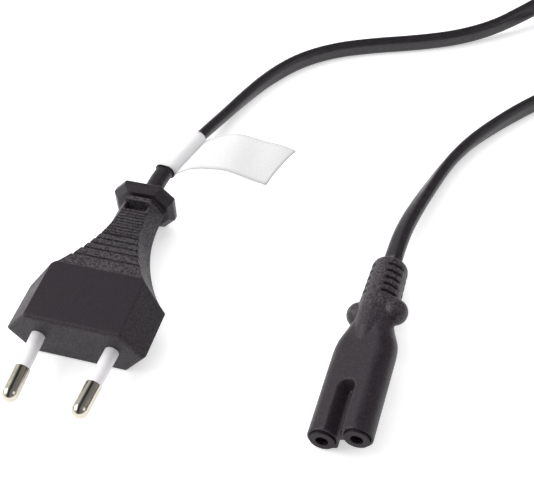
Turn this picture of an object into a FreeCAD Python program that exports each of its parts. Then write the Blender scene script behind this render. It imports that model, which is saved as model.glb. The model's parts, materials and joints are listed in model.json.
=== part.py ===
"""Flat two-core lead: figure eight connector, two-pin plug, cord tied in a coil, and a paper wrap.

Row frame: the connector lies on the floor along Y, its sockets towards -Y, rolled on one lobe.
The origin is under the middle of the connector, on the floor. Lengths are in millimetres.
"""
import FreeCAD, Part
import math
import os

import Sketcher
from FreeCAD import Placement, Rotation, Vector

# Driving dimensions
SIZES = {
    # connector, outer form
    "connector_length": 52.6,
    "lobe_radius": 3.6,
    "lobe_spacing_half": 4.3,
    "lobe_straight": 23.5,
    "shoulder_inset": 0.6,
    "connector_roll": 25.0,
    "groove_depth_to": 0.75,
    "groove_floor_half": 0.65,
    "groove_top_half": 2.15,
    "groove_length": 14.5,
    "barrel_radius": 4.85,
    "barrel_tail_radius": 4.5,
    "barrel_start": 39.0,
    "barrel_rounding": 1.6,
    "shoulder_length": 12.5,
    "neck_start": 22.0,
    "neck_start_radius": 2.9,
    "ear_radius": 3.24,
    "ear_offset": 4.62,
    "ear_place": 36.9,
    "slot_first": 40.82,
    "slot_pitch": 2.18,
    "slot_width": 0.8,
    "slot_floor_radius": 3.5,
    "slot_angle_low": 13.2,
    "slot_angle_high": 67.0,
    # connector, inner pieces
    "carrier_tube_radius": 2.9,
    "carrier_length": 20.5,
    "carrier_bridge_start": 15.2,
    "carrier_bridge_half": 2.2,
    "socket_mouth_radius": 1.5,
    "socket_mouth_depth": 1.6,
    "contact_bore_radius": 1.25,
    "contact_wall": 0.4,
    "contact_stop": 1.2,
    "contact_seam": 0.5,
    "crimp_radius": 1.15,
    "crimp_length": 5.0,
    "crimp_recess": 0.9,
    "core_set_back": 0.3,
    "wire_hole_depth": 1.0,
    # plug, outer form
    "plug_half_width": 17.65,
    "plug_flat_half": 12.05,
    "plug_half_thickness": 6.85,
    "plug_side_length": 13.95,
    "plug_top_length": 17.9,
    "grip_edge_inset": 2.9,
    "grip_length": 45.6,
    "grip_end_half_width": 6.1,
    "grip_end_thickness": 4.35,
    "rib_depth": 0.9,
    "rib_rise": 0.35,
    "rib_groove": 0.85,
    "fine_rib_depth": 0.6,
    "fine_rib_rise": 0.12,
    "fine_rib_groove": 0.58,
    "fine_rib_pitch": 1.08,
    "fine_rib_start": 30.2,
    "grip_slot_start": 41.0,
    "grip_slot_length": 2.0,
    "grip_slot_half": 2.9,
    "grip_slot_floor": 2.35,
    "grip_bar_half": 3.4,
    "grip_bar_height": 5.8,
    "grip_bar_length": 1.3,
    "collar_half_width": 8.06,
    "collar_half_height": 6.8,
    "collar_corner_x": 3.26,
    "collar_corner_z": 3.5,
    "collar_rim": 1.2,
    "collar_thickness": 3.4,
    "plug_edge_round": 1.0,
    # plug, pins and inner pieces
    "pin_spacing_half": 9.4,
    "pin_lean": 2.76,
    "pin_radius": 2.0,
    "pin_length": 19.0,
    "pin_shank_radius": 1.45,
    "pin_tail_length": 9.5,
    "sleeve_radius": 1.75,
    "sleeve_length": 10.0,
    "carrier_front": 1.5,
    "pin_carrier_depth": 6.0,
    "pin_carrier_half_width": 13.0,
    "pin_carrier_half_height": 3.4,
    "pin_crimp_radius": 1.35,
    "pin_crimp_length": 3.0,
    # cord
    "cord_width": 4.9,
    "cord_thickness": 3.2,
    "cord_length": 1750.0,
    "connector_lead_out": 9.2,
    "plug_lead_out": 6.4,
    "core_radius": 0.95,
    "core_spacing_half": 1.05,
    "core_bend": 4.0,
    "strand_radius": 0.45,
    "sheath_end_length": 16.0,
    "fit_clearance": 0.05,
    # plug and coil places on the floor
    "plug_x": -66.06,
    "plug_y": -17.4,
    "coil_x": 70.5,
    "coil_y": 151.89,
    "coil_mean_radius": 28.0,
    "coil_columns": 3,
    "coil_layers": 3,
    "turn_gap": 0.2,
    "coil_tail_length": 21.0,
    "coil_approach": 11.5,
    "coil_enter_angle": -80.0,
    "coil_leave_angle": 142.0,
    "tie_width": 5.0,
    "tie_thickness": 0.6,
    "soft_clearance": 0.3,
    # paper wrap on the cord
    "wrap_width": 16.0,
    "wrap_reach": 27.0,
    "wrap_arch": 4.0,
    "wrap_thickness": 0.4,
    "wrap_centre": 0.65,
    "wrap_clearance": 0.5,
}

# Rib crests on the grip, distances behind the plug's front face
WIDE_RIBS = [21.4, 24.2, 26.2, 28.2]
FINE_RIB_COUNT = 9
SLOTS_PER_QUADRANT = 5

# Shoulder of the connector: share of its length, spread as a share of the lobes' own, thickness growth
SHOULDER_STATIONS = [
    (0.0, 1.0, 0.0),
    (0.144, 0.975, 0.0),
    (0.28, 0.905, 0.0),
    (0.416, 0.75, 0.02),
    (0.552, 0.56, 0.06),
    (0.704, 0.37, 0.12),
    (1.0, 0.05, 0.1),
]

# Neck between the lobes and the barrel: share of its length, how far it stays inside the barrel's radius
NECK_STATIONS = [(0.235, 1.25), (0.47, 0.45), (0.735, 0.1)]

# Rounding of the barrel's tail: share of its length left, share of it that the radius has lost
TAIL_ROUNDING = [(1.0, 0.0), (0.55, 0.11), (0.18, 0.4), (0.0, 0.8)]

# Grip of the plug: distance behind the side corner, flare as a share of the difference in width, and
# height above the ribs
GRIP_STATIONS = [
    (0.0, 1.0, 0.9),
    (4.0, 0.675, 0.5),
    (9.0, 0.405, 0.3),
    (14.0, 0.21, 0.2),
    (20.0, 0.065, 0.2),
    (26.0, 0.012, 0.2),
]

# Collar of the plug: share of the rim behind its front or before its rear, and inset as a share of the rim
COLLAR_FRONT = [(0.0, 1.0), (1.1, 0.0)]
COLLAR_REAR = [(0.6, 0.0), (0.0, 0.6)]

# Cord routes from the connector and from the plug, chosen by hand, in the row frame
CONNECTOR_ROUTE = [
    (1.2, 46.39, 3.9),
    (3.7, 58.09, 2.6),
    (6.4, 68.89, 1.8),
    (10.2, 78.39, 1.6),
    (16.2, 87.79, 1.6),
    (24.1, 98.19, 1.6),
    (32.8, 107.19, 1.9),
]
PLUG_ROUTE = [
    (-65.4, 44.49, 6.5),
    (-62.4, 57.29, 4.7),
    (-59.3, 69.59, 2.6),
    (-56.0, 81.09, 1.6),
    (-51.5, 91.69, 1.6),
    (-45.0, 101.89, 1.6),
    (-36.0, 109.39, 1.6),
    (-24.9, 114.49, 1.6),
    (-12.9, 118.79, 1.6),
    (-1.5, 123.79, 1.7),
    (8.6, 130.39, 2.4),
    (17.0, 138.29, 4.1),
]

doc = FreeCAD.newDocument("lead")
sheet = doc.addObject("Spreadsheet::Sheet", "Sizes")
for row, (alias, amount) in enumerate(SIZES.items(), start=1):
    sheet.set("A%d" % row, str(amount))
    sheet.setAlias("A%d" % row, alias)
doc.recompute()


class Size:
    """A length or an angle as a number, with the sheet expression that a property is bound to."""

    def __init__(self, number, text):
        self.number = number
        self.text = text

    def joined(self, other, sign, number):
        return Size(number, "(%s %s %s)" % (self.text, sign, text_of(other)))

    def __add__(self, other):
        return self.joined(other, "+", self.number + number_of(other))

    def __sub__(self, other):
        return self.joined(other, "-", self.number - number_of(other))

    def __mul__(self, other):
        return self.joined(other, "*", self.number * number_of(other))

    def __truediv__(self, other):
        return self.joined(other, "/", self.number / number_of(other))

    def __neg__(self):
        return Size(-self.number, "(-%s)" % self.text)


def number_of(amount):
    return amount.number if isinstance(amount, Size) else float(amount)


def text_of(amount):
    return amount.text if isinstance(amount, Size) else repr(float(amount))


def size(alias):
    return Size(float(sheet.get(alias)), "Sizes." + alias)


def bind(thing, path, amount):
    thing.setExpression(path, text_of(amount))


# Sketches and their constraints
def origin_plane(body, role):
    for feature in body.Origin.OriginFeatures:
        if feature.Role == role:
            return feature


def new_sketch(body, name, role, offset=0.0, turn=0.0):
    sketch = body.newObject("Sketcher::SketchObject", name)
    sketch.AttachmentSupport = [(origin_plane(body, role), "")]
    sketch.MapMode = "FlatFace"
    away = -offset if role == "XZ_Plane" and isinstance(offset, Size) else offset
    turned = Rotation(Vector(0, 1, 0), turn)
    sketch.AttachmentOffset = Placement(Vector(0, 0, number_of(away)), turned)
    if isinstance(offset, Size):
        bind(sketch, "AttachmentOffset.Base.z", away)
    return sketch


def hold(sketch, *constraint):
    """Adds one constraint; a last argument that is a Size also binds it to the sheet."""
    amount = constraint[-1]
    if not isinstance(amount, Size):
        return sketch.addConstraint(Sketcher.Constraint(*constraint))
    index = sketch.addConstraint(Sketcher.Constraint(*constraint[:-1], amount.number))
    sketch.setExpression("Constraints[%d]" % index, amount.text)
    return index


def hold_point(sketch, geometry, end, x, y):
    for kind, amount in (("DistanceX", x), ("DistanceY", y)):
        bound = amount if isinstance(amount, Size) else float(amount)
        hold(sketch, kind, -1, 1, geometry, end, bound)


def polygon(sketch, corners, tip_radius=None):
    """A closed outline through corners, each an (x, y) of sizes; its first edge may be a round tip."""
    spots = [Vector(number_of(x), number_of(y), 0) for x, y in corners]
    edges = [Part.LineSegment(start, end) for start, end in zip(spots, spots[1:] + spots[:1])]
    if tip_radius:
        centre = Vector(spots[0].x, spots[1].y, 0)
        circle = Part.Circle(centre, Vector(0, 0, 1), number_of(tip_radius))
        edges[0] = Part.ArcOfCircle(circle, -math.pi / 2, 0)
    ids = [sketch.addGeometry(edge, False) for edge in edges]
    for edge, following, (x, y) in zip(ids, ids[1:] + ids[:1], corners):
        hold(sketch, "Coincident", edge, 2, following, 1)
        hold_point(sketch, edge, 1, x, y)
    if tip_radius:
        hold(sketch, "Radius", ids[0], tip_radius)


def stadium(sketch, spread, radius, height=0.0):
    """Two half circles at x = -spread and +spread, joined by straight lines."""
    wide = number_of(spread)
    high = number_of(radius)
    level = number_of(height)
    quarter = math.pi / 2
    up = Vector(0, 0, 1)
    right = Part.ArcOfCircle(Part.Circle(Vector(wide, level, 0), up, high), -quarter, quarter)
    left = Part.ArcOfCircle(Part.Circle(Vector(-wide, level, 0), up, high), quarter, 3 * quarter)
    top = Part.LineSegment(Vector(wide, level + high, 0), Vector(-wide, level + high, 0))
    bottom = Part.LineSegment(Vector(-wide, level - high, 0), Vector(wide, level - high, 0))
    ids = [sketch.addGeometry(piece, False) for piece in (right, top, left, bottom)]
    for piece, following in zip(ids, ids[1:] + ids[:1]):
        hold(sketch, "Coincident", piece, 2, following, 1)
    for arc, place in ((ids[0], spread), (ids[2], -spread)):
        hold(sketch, "Vertical", arc, 3, arc, 1)
        hold(sketch, "Vertical", arc, 3, arc, 2)
        hold_point(sketch, arc, 3, place, height)
        hold(sketch, "Radius", arc, radius)


def round_ended_slot(sketch, half_width, front, centre):
    """A slot open to the front, with a half circle at its rear end."""
    wide = number_of(half_width)
    start = number_of(front)
    end = number_of(centre)
    circle = Part.Circle(Vector(0, end, 0), Vector(0, 0, 1), wide)
    pieces = (
        Part.LineSegment(Vector(-wide, start, 0), Vector(wide, start, 0)),
        Part.LineSegment(Vector(wide, start, 0), Vector(wide, end, 0)),
        Part.ArcOfCircle(circle, 0, math.pi),
        Part.LineSegment(Vector(-wide, end, 0), Vector(-wide, start, 0)),
    )
    ids = [sketch.addGeometry(piece, False) for piece in pieces]
    for piece, following in zip(ids, ids[1:] + ids[:1]):
        hold(sketch, "Coincident", piece, 2, following, 1)
    hold_point(sketch, ids[0], 1, -half_width, front)
    hold_point(sketch, ids[0], 2, half_width, front)
    hold_point(sketch, ids[2], 3, 0.0, centre)
    hold(sketch, "Radius", ids[2], half_width)
    hold(sketch, "Horizontal", ids[2], 3, ids[2], 1)
    hold(sketch, "Horizontal", ids[2], 3, ids[2], 2)


# Features
def new_body(name):
    return doc.addObject("PartDesign::Body", name)


def pad(body, sketch, length, reverse=False):
    feature = body.newObject("PartDesign::Pad", sketch.Name + "Pad")
    feature.Profile = sketch
    feature.Reversed = reverse
    bind(feature, "Length", length)
    sketch.Visibility = False
    return feature


def pocket(body, sketch, length=None, reverse=False):
    """A pocket of a stated depth, or through the whole body on both sides of its sketch."""
    feature = body.newObject("PartDesign::Pocket", sketch.Name + "Pocket")
    feature.Profile = sketch
    feature.Reversed = reverse
    if length is None:
        feature.Type = "ThroughAll"
        feature.Midplane = True
    else:
        bind(feature, "Length", length)
    return feature


def loft(body, sketches, kind="PartDesign::AdditiveLoft", ruled=False):
    feature = body.newObject(kind, sketches[0].Name + "Loft")
    feature.Profile = sketches[0]
    feature.Sections = sketches[1:]
    feature.Ruled = ruled
    return feature


def turned(body, sketch, kind="PartDesign::Revolution", axis="V_Axis", angle=360.0, middle=False):
    feature = body.newObject(kind, sketch.Name + "Turn")
    feature.Profile = sketch
    feature.ReferenceAxis = (sketch, [axis])
    feature.Midplane = middle
    bind(feature, "Angle", angle)
    return feature


def edge_round(body, feature, alias, chosen):
    """Rounds those edges of a feature for which chosen says yes."""
    names = ["Edge%d" % (index + 1) for index, edge in enumerate(feature.Shape.Edges) if chosen(edge)]
    rounding = body.newObject("PartDesign::Fillet", feature.Name + "Round")
    rounding.Base = (feature, names)
    bind(rounding, "Radius", size(alias))
    return rounding


def mirrored(body, feature, role):
    mirror = body.newObject("PartDesign::Mirrored", feature.Name + "Mirror")
    mirror.Originals = [feature]
    mirror.MirrorPlane = (origin_plane(body, role), [""])
    body.Tip = mirror
    return mirror


def rod(name, x, start, end, radius, z=0.0):
    """A plain cylinder along Y."""
    cylinder = doc.addObject("Part::Cylinder", name)
    cylinder.Placement.Rotation = Rotation(Vector(1, 0, 0), -90)
    bind(cylinder, "Radius", radius)
    bind(cylinder, "Height", end - start if isinstance(end, Size) else Size(end, repr(end)) - start)
    bind(cylinder, "Placement.Base.x", x)
    bind(cylinder, "Placement.Base.y", start)
    bind(cylinder, "Placement.Base.z", z)
    return cylinder


def round_bar(name, x, start, length, radius):
    """A plain bar along Y as a body of its own."""
    body = new_body(name)
    sketch = new_sketch(body, name + "Section", "XZ_Plane", start)
    circle = Part.Circle(Vector(number_of(x), 0, 0), Vector(0, 0, 1), number_of(radius))
    ring = sketch.addGeometry(circle, False)
    hold_point(sketch, ring, 3, x, 0.0)
    hold(sketch, "Radius", ring, radius)
    pad(body, sketch, length, reverse=True)
    return body


def block(name, half_width, start, length, half_height):
    """A plain box, centred on the axis, that starts a stated distance along Y."""
    box = doc.addObject("Part::Box", name)
    bind(box, "Length", half_width * 2)
    bind(box, "Width", length)
    bind(box, "Height", half_height * 2)
    bind(box, "Placement.Base.x", -half_width)
    bind(box, "Placement.Base.y", start)
    bind(box, "Placement.Base.z", -half_height)
    return box


def fused(name, pieces):
    result = doc.addObject("Part::MultiFuse", name)
    result.Shapes = pieces
    result.Refine = True
    return result


def cut(name, base, tool):
    result = doc.addObject("Part::Cut", name)
    result.Base = base
    result.Tool = tool
    return result


def solid_feature(name, shape):
    feature = doc.addObject("Part::Feature", name)
    feature.Shape = shape
    return feature


# Paths of straight runs joined by tangent arcs
def rounded_path(points, label=None, bend=None):
    """Wire through points with tangent arcs, as large as the runs allow or of a stated bend radius."""
    spots = [Vector(*point) for point in points]
    edges = []
    radii = []
    last = spots[0]
    for before, corner, after in zip(spots, spots[1:], spots[2:]):
        back = (before - corner).normalize()
        ahead = (after - corner).normalize()
        half_turn = (math.pi - back.getAngle(ahead)) / 2
        reach = 0.45 * min((before - corner).Length, (after - corner).Length)
        if bend:
            reach = min(reach, bend * math.tan(half_turn))
        radius = reach / math.tan(half_turn)
        radii.append(radius)
        start = corner + back * reach
        end = corner + ahead * reach
        inward = (back + ahead).normalize()
        middle = corner + inward * (radius / math.cos(half_turn) - radius)
        edges.append(Part.LineSegment(last, start).toShape())
        edges.append(Part.Arc(start, middle, end).toShape())
        last = end
    edges.append(Part.LineSegment(last, spots[-1]).toShape())
    if label:
        print("%s: bend radii from %.1f to %.1f mm" % (label, min(radii), max(radii)))
    return Part.Wire(edges)


def round_tube(points, radius):
    path = rounded_path(points, bend=size("core_bend").number)
    start = path.Vertexes[0].Point
    along = path.Edges[0].tangentAt(path.Edges[0].FirstParameter)
    section = Part.Wire([Part.Circle(start, along, radius).toShape()])
    return path.makePipeShell([section], True, False)


def flat_section(centre, along, width, thickness):
    """The cord's oval section, its flat sides level, square to a direction."""
    across = along.cross(Vector(0, 0, 1)).normalize()
    up = across.cross(along).normalize()
    half = width / 2 - thickness / 2
    radius = thickness / 2
    right_top = centre + across * half + up * radius
    right_low = centre + across * half - up * radius
    left_top = centre - across * half + up * radius
    left_low = centre - across * half - up * radius
    edges = [
        Part.LineSegment(left_top, right_top).toShape(),
        Part.Arc(right_top, centre + across * (width / 2), right_low).toShape(),
        Part.LineSegment(right_low, left_low).toShape(),
        Part.Arc(left_low, centre - across * (width / 2), left_top).toShape(),
    ]
    return Part.Wire(edges)


def cord_tube(points, width, thickness, label):
    """A flat cord swept along a rounded path, with its volume compared with section times length."""
    path = rounded_path(points, label)
    start = path.Vertexes[0].Point
    along = path.Edges[0].tangentAt(path.Edges[0].FirstParameter)
    section = flat_section(start, along, width, thickness)
    sweep = Part.BRepOffsetAPI.MakePipeShell(path)
    sweep.setBiNormalMode(Vector(0, 0, 1))
    sweep.add(section)
    sweep.build()
    sweep.makeSolid()
    tube = sweep.shape()
    expected = Part.Face(section).Area * path.Length
    share = tube.Volume / expected
    print("%s: %.1f mm long, volume %.3f of section times length" % (label, path.Length, share))
    return tube, path.Length


# Placements of the two assemblies
roll = math.radians(number_of(size("connector_roll")))
axis_height = number_of(size("lobe_spacing_half")) * math.sin(roll) + number_of(size("lobe_radius"))
half_length = number_of(size("connector_length")) / 2
CONNECTOR_PLACE = Placement(
    Vector(0, -half_length, axis_height),
    Rotation(Vector(0, 1, 0), -number_of(size("connector_roll"))),
)
PLUG_PLACE = Placement(
    Vector(*[number_of(size(name)) for name in ("plug_x", "plug_y", "plug_half_thickness")]),
    Rotation(),
)
nodes = []


def node(thing, label, place):
    """Names a finished sub-part and puts it where its assembly lies."""
    thing.Label = label
    if place is not None:
        thing.Placement = place.multiply(thing.Placement)
    nodes.append(thing)


# Pieces that both ends of the cord have
clear = size("fit_clearance")
core_x = size("core_spacing_half")
core_r = size("core_radius")
oval_spread = (size("cord_width") - size("cord_thickness")) / 2
oval_radius = size("cord_thickness") / 2


def oval_prism(name, start, length, grown=0.0):
    body = new_body(name)
    sketch = new_sketch(body, name + "Section", "XZ_Plane", start)
    stadium(sketch, oval_spread, oval_radius + grown)
    pad(body, sketch, length, reverse=True)
    return body


def sheath_end(label, end, place):
    """The cord's own sheath inside a moulding, with a bore for each core."""
    length = size("sheath_end_length")
    start = end - length
    body = new_body(label + "_body")
    outer = new_sketch(body, label + "Section", "XZ_Plane", start)
    stadium(outer, oval_spread, oval_radius)
    pad(body, outer, length, reverse=True)
    bores = new_sketch(body, label + "Bores", "XZ_Plane", start)
    for side in (-1, 1):
        circle = Part.Circle(Vector(side * core_x.number, 0, 0), Vector(0, 0, 1), (core_r + clear).number)
        bore = bores.addGeometry(circle, False)
        hold_point(bores, bore, 3, core_x * side, 0.0)
        hold(bores, "Radius", bore, core_r + clear)
    pocket(body, bores)
    node(body, label, place)


def core_points(side, start_x, start, bend_from, bend_to, end):
    """One core runs straight, crosses to its place in the cord and runs on to the cord's exit."""
    return [
        (side * start_x, start, 0),
        (side * start_x, bend_from, 0),
        (side * core_x.number, bend_to, 0),
        (side * core_x.number, end, 0),
    ]


# Connector, outer moulding
def connector_outer():
    length = size("connector_length")
    lobe = size("lobe_radius")
    spread = size("lobe_spacing_half")
    straight = size("lobe_straight")
    barrel = size("barrel_radius")
    body = new_body("ConnectorForm")
    front = new_sketch(body, "LobeSection", "XZ_Plane", size("shoulder_inset"))
    stadium(front, spread, lobe)
    pad(body, front, straight - size("shoulder_inset"), reverse=True)
    sections = []
    for index, (behind, share, growth) in enumerate(SHOULDER_STATIONS):
        place = straight + size("shoulder_length") * behind
        section = new_sketch(body, "Shoulder%d" % index, "XZ_Plane", place)
        stadium(section, spread * share, lobe + (barrel - lobe) * growth)
        sections.append(section)
    loft(body, sections, ruled=True)
    profile = new_sketch(body, "BarrelProfile", "YZ_Plane")
    rounding = size("barrel_rounding")
    tail = size("barrel_tail_radius")
    neck = size("neck_start")
    barrel_start = size("barrel_start")
    corners = [(neck, 0.0), (neck, size("neck_start_radius"))]
    for share, inside in NECK_STATIONS:
        corners.append((neck + (barrel_start - neck) * share, barrel - inside))
    corners.append((barrel_start, barrel))
    for left, lost in TAIL_ROUNDING:
        corners.append((length - rounding * left, tail - rounding * lost))
    corners.append((length, 0.0))
    polygon(profile, corners)
    turned(body, profile, axis="H_Axis")
    groove_end = size("groove_length")
    floor_half = size("groove_floor_half")
    top_half = size("groove_top_half")
    floor = new_sketch(body, "GrooveFloor", "XY_Plane", size("groove_depth_to"))
    round_ended_slot(floor, floor_half, -1.0, groove_end - top_half)
    mouth = new_sketch(body, "GrooveMouth", "XY_Plane", lobe + 0.01)
    round_ended_slot(mouth, top_half, -1.0, groove_end - top_half)
    groove = loft(body, [floor, mouth], "PartDesign::SubtractiveLoft", ruled=True)
    mirrored(body, groove, "XY_Plane")
    low = size("slot_angle_low")
    high = size("slot_angle_high")
    middle = (low + high) / 2
    floor_radius = size("slot_floor_radius")
    for index, turn in enumerate((middle.number, 180 - middle.number, 180 + middle.number, -middle.number)):
        cuts = new_sketch(body, "Slots%d" % index, "XY_Plane", 0.0, turn)
        for count in range(SLOTS_PER_QUADRANT):
            start = size("slot_first") + size("slot_pitch") * count - size("slot_width") / 2
            end = start + size("slot_width")
            outside = barrel + 1.0
            polygon(cuts, [(floor_radius, start), (outside, start), (outside, end), (floor_radius, end)])
        slots = turned(body, cuts, "PartDesign::Groove", angle=high - low, middle=True)
        body.Tip = slots
    pieces = [body]
    for side in (-1, 1):
        ear = doc.addObject("Part::Sphere", "Ear%d" % (side + 1))
        ear.Placement.Rotation = Rotation(Vector(0, 1, 0), 90 * side)
        bind(ear, "Radius", size("ear_radius"))
        bind(ear, "Placement.Base.x", size("ear_offset") * side)
        bind(ear, "Placement.Base.y", size("ear_place"))
        pieces.append(ear)
    return fused("ConnectorOuter", pieces)


def connector_parts():
    length = size("connector_length")
    spread = size("lobe_spacing_half")
    tube = size("carrier_tube_radius")
    carrier_end = size("carrier_length")
    bridge = size("carrier_bridge_start")
    bridge_half = size("carrier_bridge_half")
    mouth = size("socket_mouth_radius")
    mouth_depth = size("socket_mouth_depth")
    contact_outer = size("contact_bore_radius") + size("contact_wall")
    crimp = size("crimp_radius")
    crimp_end = carrier_end - size("crimp_recess")
    contact_end = crimp_end - size("crimp_length")
    hollow_end = contact_end - size("contact_stop")
    core_start = carrier_end - size("core_set_back")
    sheath_start = length - size("sheath_end_length")
    strand = size("strand_radius")

    outer = connector_outer()
    room = [
        rod("CarrierRoom%d" % side, spread * side, 0.0, carrier_end + clear, tube + clear)
        for side in (-1, 1)
    ]
    bridge_depth = carrier_end - bridge
    room.append(block("BridgeRoom", spread, bridge - clear, bridge_depth + clear * 2, bridge_half + clear))
    room.append(oval_prism("SheathRoom", sheath_start - clear, length - sheath_start + 1.0, clear))
    core_path = {}
    for side in (-1, 1):
        bend_from = core_start.number + 2.6
        bend_to = sheath_start.number - 1.5
        path = core_points(side, spread.number, core_start.number, bend_from, bend_to, length.number)
        core_path[side] = path
        room_start = (path[0][0], carrier_end.number - 0.5, 0)
        room_end = (path[3][0], sheath_start.number + 1, 0)
        wide = [room_start, path[1], path[2], room_end]
        room.append(solid_feature("CoreRoom%d" % side, round_tube(wide, (core_r + clear).number)))
    node(cut("ConnectorBody", outer, fused("ConnectorRoom", room)), "connector_body", CONNECTOR_PLACE)

    pieces = [rod("CarrierTube%d" % side, spread * side, 0.0, carrier_end, tube) for side in (-1, 1)]
    pieces.append(block("CarrierBridge", spread, bridge, bridge_depth, bridge_half))
    bores = []
    for side in (-1, 1):
        x = spread * side
        bores.append(rod("MouthBore%d" % side, x, -1.0, mouth_depth + 0.5, mouth))
        bores.append(rod("ContactBore%d" % side, x, mouth_depth, contact_end + clear, contact_outer + clear))
        bores.append(rod("CrimpBore%d" % side, x, contact_end - 0.5, carrier_end + 1.0, crimp + clear))
    carrier = cut("Carrier", fused("CarrierForm", pieces), fused("CarrierBores", bores))
    node(carrier, "contact_carrier", CONNECTOR_PLACE)

    for side, name in ((-1, "left"), (1, "right")):
        x = spread * side
        sleeve = rod("ContactSleeve" + name, x, mouth_depth, contact_end, contact_outer)
        barrel = rod("ContactCrimp" + name, x, hollow_end, crimp_end, crimp)
        hollow = rod("ContactHollow" + name, x, mouth_depth - 0.5, hollow_end, size("contact_bore_radius"))
        wire_room = contact_end + size("wire_hole_depth")
        wire_hole = rod("ContactWireHole" + name, x, wire_room, crimp_end + 0.5, strand + clear)
        seam = doc.addObject("Part::Box", "ContactSeam" + name)
        bind(seam, "Length", size("contact_seam"))
        bind(seam, "Width", hollow_end - mouth_depth)
        bind(seam, "Height", contact_outer + 1.0)
        bind(seam, "Placement.Base.x", x - size("contact_seam") / 2)
        bind(seam, "Placement.Base.y", mouth_depth - 0.5)
        form = fused("ContactForm" + name, [sleeve, barrel])
        holes = fused("ContactHoles" + name, [hollow, wire_hole, seam])
        node(cut("Contact" + name, form, holes), "socket_contact_" + name, CONNECTOR_PLACE)
        wire_start = wire_room + clear
        wire = round_bar("ConnectorStrand" + name, x, wire_start, core_start - wire_start, strand)
        node(wire, "connector_strand_" + name, CONNECTOR_PLACE)
        core = solid_feature("ConnectorCore" + name, round_tube(core_path[side], core_r.number))
        node(core, "connector_core_" + name, CONNECTOR_PLACE)
    sheath_end("connector_sheath_end", length, CONNECTOR_PLACE)


# Plug, outer moulding
def hexagon(sketch, half_width, flat_half, half_height):
    polygon(sketch, [
        (half_width, 0.0),
        (flat_half, half_height),
        (-flat_half, half_height),
        (-half_width, 0.0),
        (-flat_half, -half_height),
        (flat_half, -half_height),
    ])


def octagon(sketch, inset):
    wide = size("collar_half_width") - inset
    high = size("collar_half_height") - inset
    corner_x = wide - size("collar_corner_x")
    corner_z = high - size("collar_corner_z")
    polygon(sketch, [
        (wide, corner_z),
        (corner_x, high),
        (-corner_x, high),
        (-wide, corner_z),
        (-wide, -corner_z),
        (-corner_x, -high),
        (corner_x, -high),
        (wide, -corner_z),
    ])


def rib_profile():
    """Outline above the ribs, seen from the side: each ramp rises to a crest with a groove behind it."""
    top = size("plug_half_thickness")
    start = size("plug_top_length")
    slot_start = size("grip_slot_start")
    end_height = size("grip_end_thickness")
    outside = size("grip_length") + 0.5
    fall = (top - end_height) / (slot_start - start)

    def crest(place):
        return top - fall * (place - start)

    wide = [size("rib_" + name) for name in ("groove", "depth", "rise")]
    fine = [size("fine_rib_" + name) for name in ("groove", "depth", "rise")]
    fine_start = size("fine_rib_start")
    ribs = [(Size(place, repr(place)), wide) for place in WIDE_RIBS] + [(fine_start, wide)]
    for count in range(1, FINE_RIB_COUNT + 1):
        ribs.append((fine_start + size("fine_rib_pitch") * count, fine))
    above = top + 3.0
    corners = [(start, above), (start, top - size("rib_rise"))]
    for place, (groove, depth, rise) in ribs:
        behind = place + groove
        corners.append((place, crest(place)))
        corners.append((place, crest(place) - depth))
        corners.append((behind, crest(place) - depth))
        corners.append((behind, crest(behind) - rise))
    corners.append((slot_start, end_height))
    corners.append((outside, end_height))
    corners.append((outside, above))
    return corners


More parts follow.
